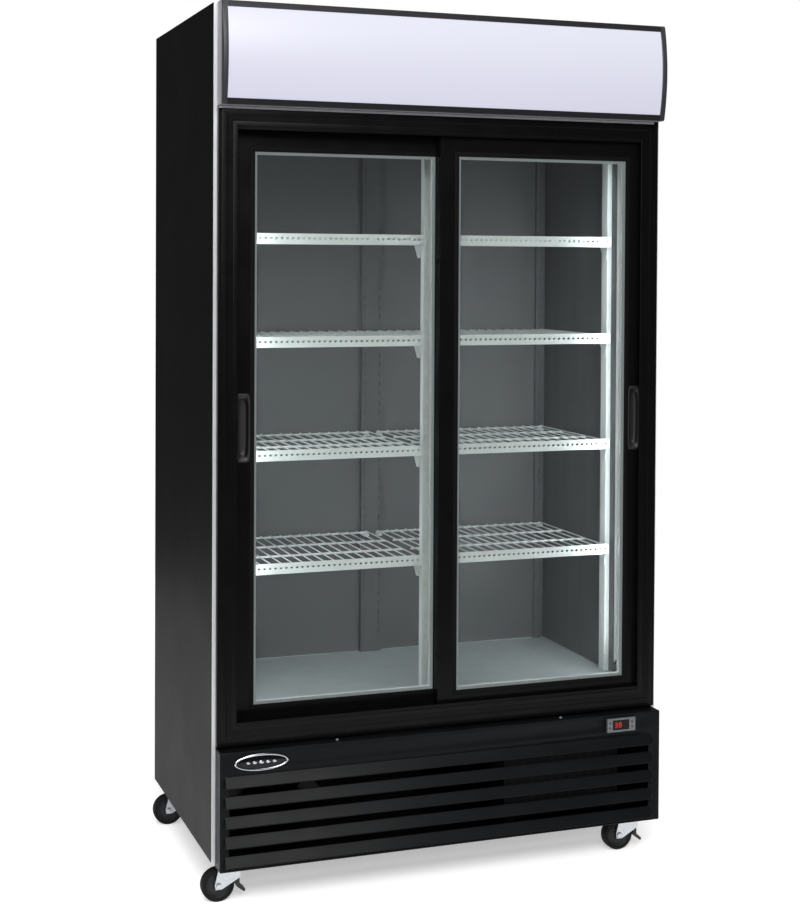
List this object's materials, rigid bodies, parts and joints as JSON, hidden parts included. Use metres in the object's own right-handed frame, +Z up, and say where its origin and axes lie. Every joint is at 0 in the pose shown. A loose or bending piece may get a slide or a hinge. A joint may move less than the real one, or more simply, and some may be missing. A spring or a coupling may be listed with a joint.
{
  "type": "glass door merchandiser",
  "caption": "Upright refrigerated display cabinet on casters, with sliding glass doors, wire shelves, a lit sign box and a louvred base.",
  "frame": {"origin": "on the floor, midway between the side panels and midway between the back panel and the foremost point of the header", "axes": "+Z up; the front with the doors faces -Y; +X is to the viewer's right when facing the doors"},
  "size_m": [1.1145, 0.69, 2],
  "materials": {
    "black_powder_coat": "satin powder coat",
    "galvanised_sheet": "galvanised",
    "white_liner": "smooth white",
    "foam": "foam",
    "anodised_silver": "anodised",
    "black_extrusion": "satin black extrusion",
    "white_powder_coat": "white powder coat",
    "lamp_diffuser": "frosted tube",
    "motor_black": "gloss enamel",
    "condenser_fins": "finned",
    "zinc": "zinc plated",
    "controller_plastic": "moulded",
    "display_window": "dark window",
    "button_plastic": "moulded",
    "chrome": "polished",
    "header_grey": "light grey",
    "sign_acrylic": "translucent white acrylic",
    "black_nylon": "moulded nylon",
    "roller_nylon": "natural nylon",
    "clear_glass": "clear float glass",
    "caster_tread": "black rubber",
    "pedal_black": "moulded"
  },
  "bodies": {
    "cabinet": {"left_side_panel": "black_powder_coat", "right_side_panel": "black_powder_coat", "top_panel": "black_powder_coat", "back_panel": "galvanised_sheet", "base_chassis": "galvanised_sheet", "inner_liner": "white_liner", "foam_insulation": "foam", "silver_trims": "anodised_silver", "surround_jambs": "black_extrusion", "head_track": "black_extrusion", "sill_track": "black_extrusion", "pilasters": "white_powder_coat", "shelves": "white_powder_coat", "shelf_rails": "white_powder_coat", "shelf_brackets": "white_powder_coat", "led_lamps": "lamp_diffuser", "evaporator_cover": "white_powder_coat", "evaporator_coil": "galvanised_sheet", "fan_motors": "motor_black", "compressor": "motor_black", "condenser": "condenser_fins", "front_grille": "black_powder_coat", "panel_screws": "zinc", "controller_case": "controller_plastic", "controller_window": "display_window", "badge": "chrome", "header_housing": "header_grey", "header_frame": "black_extrusion", "sign_panel": "sign_acrylic", "caster_plates": "galvanised_sheet", "cord_gland": "black_nylon"},
    "left_door": {"left_door_frame": "black_extrusion", "left_door_glass": "clear_glass", "left_door_spacer": "anodised_silver", "left_door_handle": "black_nylon"},
    "right_door": {"right_door_frame": "black_extrusion", "right_door_glass": "clear_glass", "right_door_spacer": "anodised_silver", "right_door_handle": "black_nylon"},
    "left_roller_outer": {"left_roller_outer": "roller_nylon"},
    "left_roller_inner": {"left_roller_inner": "roller_nylon"},
    "right_roller_outer": {"right_roller_outer": "roller_nylon"},
    "right_roller_inner": {"right_roller_inner": "roller_nylon"},
    "evaporator_fan_left": {"evaporator_fan_left": "black_nylon"},
    "evaporator_fan_right": {"evaporator_fan_right": "black_nylon"},
    "condenser_fan": {"condenser_fan": "black_nylon"},
    "caster_front_left_fork": {"caster_front_left_fork": "zinc"},
    "caster_front_left_wheel": {"caster_front_left_wheel": "caster_tread"},
    "caster_front_left_pedal": {"caster_front_left_pedal": "pedal_black"},
    "caster_front_right_fork": {"caster_front_right_fork": "zinc"},
    "caster_front_right_wheel": {"caster_front_right_wheel": "caster_tread"},
    "caster_front_right_pedal": {"caster_front_right_pedal": "pedal_black"},
    "caster_rear_left_fork": {"caster_rear_left_fork": "zinc"},
    "caster_rear_left_wheel": {"caster_rear_left_wheel": "caster_tread"},
    "caster_rear_right_fork": {"caster_rear_right_fork": "zinc"},
    "caster_rear_right_wheel": {"caster_rear_right_wheel": "caster_tread"},
    "button_up": {"button_up": "button_plastic"},
    "button_down": {"button_down": "button_plastic"},
    "button_set": {"button_set": "button_plastic"},
    "button_light": {"button_light": "button_plastic"}
  },
  "joints": [
    {"name": "left_door_slide", "type": "slide", "parent": "cabinet", "child": "left_door", "axis": [1, 0, 0], "range_m": [0, 0.479]},
    {"name": "right_door_slide", "type": "slide", "parent": "cabinet", "child": "right_door", "axis": [1, 0, 0], "range_m": [-0.479, 0]},
    {"name": "left_roller_outer_turn", "type": "hinge", "parent": "left_door", "child": "left_roller_outer", "pos_m": [-0.434, -0.243, 0.391], "axis": [0, 1, 0], "range_deg": [0, 3665]},
    {"name": "left_roller_inner_turn", "type": "hinge", "parent": "left_door", "child": "left_roller_inner", "pos_m": [-0.028, -0.243, 0.391], "axis": [0, 1, 0], "range_deg": [0, 3665]},
    {"name": "right_roller_outer_turn", "type": "hinge", "parent": "right_door", "child": "right_roller_outer", "pos_m": [0.451, -0.273, 0.391], "axis": [0, 1, 0], "range_deg": [-3665, 0]},
    {"name": "right_roller_inner_turn", "type": "hinge", "parent": "right_door", "child": "right_roller_inner", "pos_m": [0.045, -0.273, 0.391], "axis": [0, 1, 0], "range_deg": [-3665, 0]},
    {"name": "evaporator_fan_left_spin", "type": "hinge", "parent": "cabinet", "child": "evaporator_fan_left", "pos_m": [-0.2, -0.1, 1.85], "axis": [0, 1, 0], "continuous": true},
    {"name": "evaporator_fan_right_spin", "type": "hinge", "parent": "cabinet", "child": "evaporator_fan_right", "pos_m": [0.2, -0.1, 1.85], "axis": [0, 1, 0], "continuous": true},
    {"name": "condenser_fan_spin", "type": "hinge", "parent": "cabinet", "child": "condenser_fan", "pos_m": [0.315, -0.18, 0.228], "axis": [0, 1, 0], "continuous": true},
    {"name": "caster_front_left_swivel", "type": "hinge", "parent": "cabinet", "child": "caster_front_left_fork", "pos_m": [-0.5, -0.245, 0.09], "axis": [0, 0, 1], "continuous": true},
    {"name": "caster_front_left_roll", "type": "hinge", "parent": "caster_front_left_fork", "child": "caster_front_left_wheel", "pos_m": [-0.527, -0.245, 0.0375], "axis": [0, 1, 0], "continuous": true},
    {"name": "caster_front_left_brake", "type": "hinge", "parent": "caster_front_left_fork", "child": "caster_front_left_pedal", "pos_m": [-0.484, -0.245, 0.057], "axis": [0, 1, 0], "range_deg": [0, 8]},
    {"name": "caster_front_right_swivel", "type": "hinge", "parent": "cabinet", "child": "caster_front_right_fork", "pos_m": [0.5, -0.245, 0.09], "axis": [0, 0, 1], "continuous": true},
    {"name": "caster_front_right_roll", "type": "hinge", "parent": "caster_front_right_fork", "child": "caster_front_right_wheel", "pos_m": [0.473, -0.245, 0.0375], "axis": [0, 1, 0], "continuous": true},
    {"name": "caster_front_right_brake", "type": "hinge", "parent": "caster_front_right_fork", "child": "caster_front_right_pedal", "pos_m": [0.516, -0.245, 0.057], "axis": [0, 1, 0], "range_deg": [0, 8]},
    {"name": "caster_rear_left_swivel", "type": "hinge", "parent": "cabinet", "child": "caster_rear_left_fork", "pos_m": [-0.5, 0.29, 0.09], "axis": [0, 0, 1], "continuous": true},
    {"name": "caster_rear_left_roll", "type": "hinge", "parent": "caster_rear_left_fork", "child": "caster_rear_left_wheel", "pos_m": [-0.527, 0.29, 0.0375], "axis": [0, 1, 0], "continuous": true},
    {"name": "caster_rear_right_swivel", "type": "hinge", "parent": "cabinet", "child": "caster_rear_right_fork", "pos_m": [0.5, 0.29, 0.09], "axis": [0, 0, 1], "continuous": true},
    {"name": "caster_rear_right_roll", "type": "hinge", "parent": "caster_rear_right_fork", "child": "caster_rear_right_wheel", "pos_m": [0.473, 0.29, 0.0375], "axis": [0, 1, 0], "continuous": true},
    {"name": "button_up_press", "type": "slide", "parent": "cabinet", "child": "button_up", "axis": [0, 1, 0], "range_m": [0, 0.0015], "stiffness_N_per_m": 300},
    {"name": "button_down_press", "type": "slide", "parent": "cabinet", "child": "button_down", "axis": [0, 1, 0], "range_m": [0, 0.0015], "stiffness_N_per_m": 300},
    {"name": "button_set_press", "type": "slide", "parent": "cabinet", "child": "button_set", "axis": [0, 1, 0], "range_m": [0, 0.0015], "stiffness_N_per_m": 300},
    {"name": "button_light_press", "type": "slide", "parent": "cabinet", "child": "button_light", "axis": [0, 1, 0], "range_m": [0, 0.0015], "stiffness_N_per_m": 300}
  ],
  "couplings": [
    {"joint": "left_roller_outer_turn", "follows": "left_door_slide", "rad_per_m": 133.33},
    {"joint": "left_roller_inner_turn", "follows": "left_door_slide", "rad_per_m": 133.33},
    {"joint": "right_roller_outer_turn", "follows": "right_door_slide", "rad_per_m": 133.33},
    {"joint": "right_roller_inner_turn", "follows": "right_door_slide", "rad_per_m": 133.33}
  ]
}
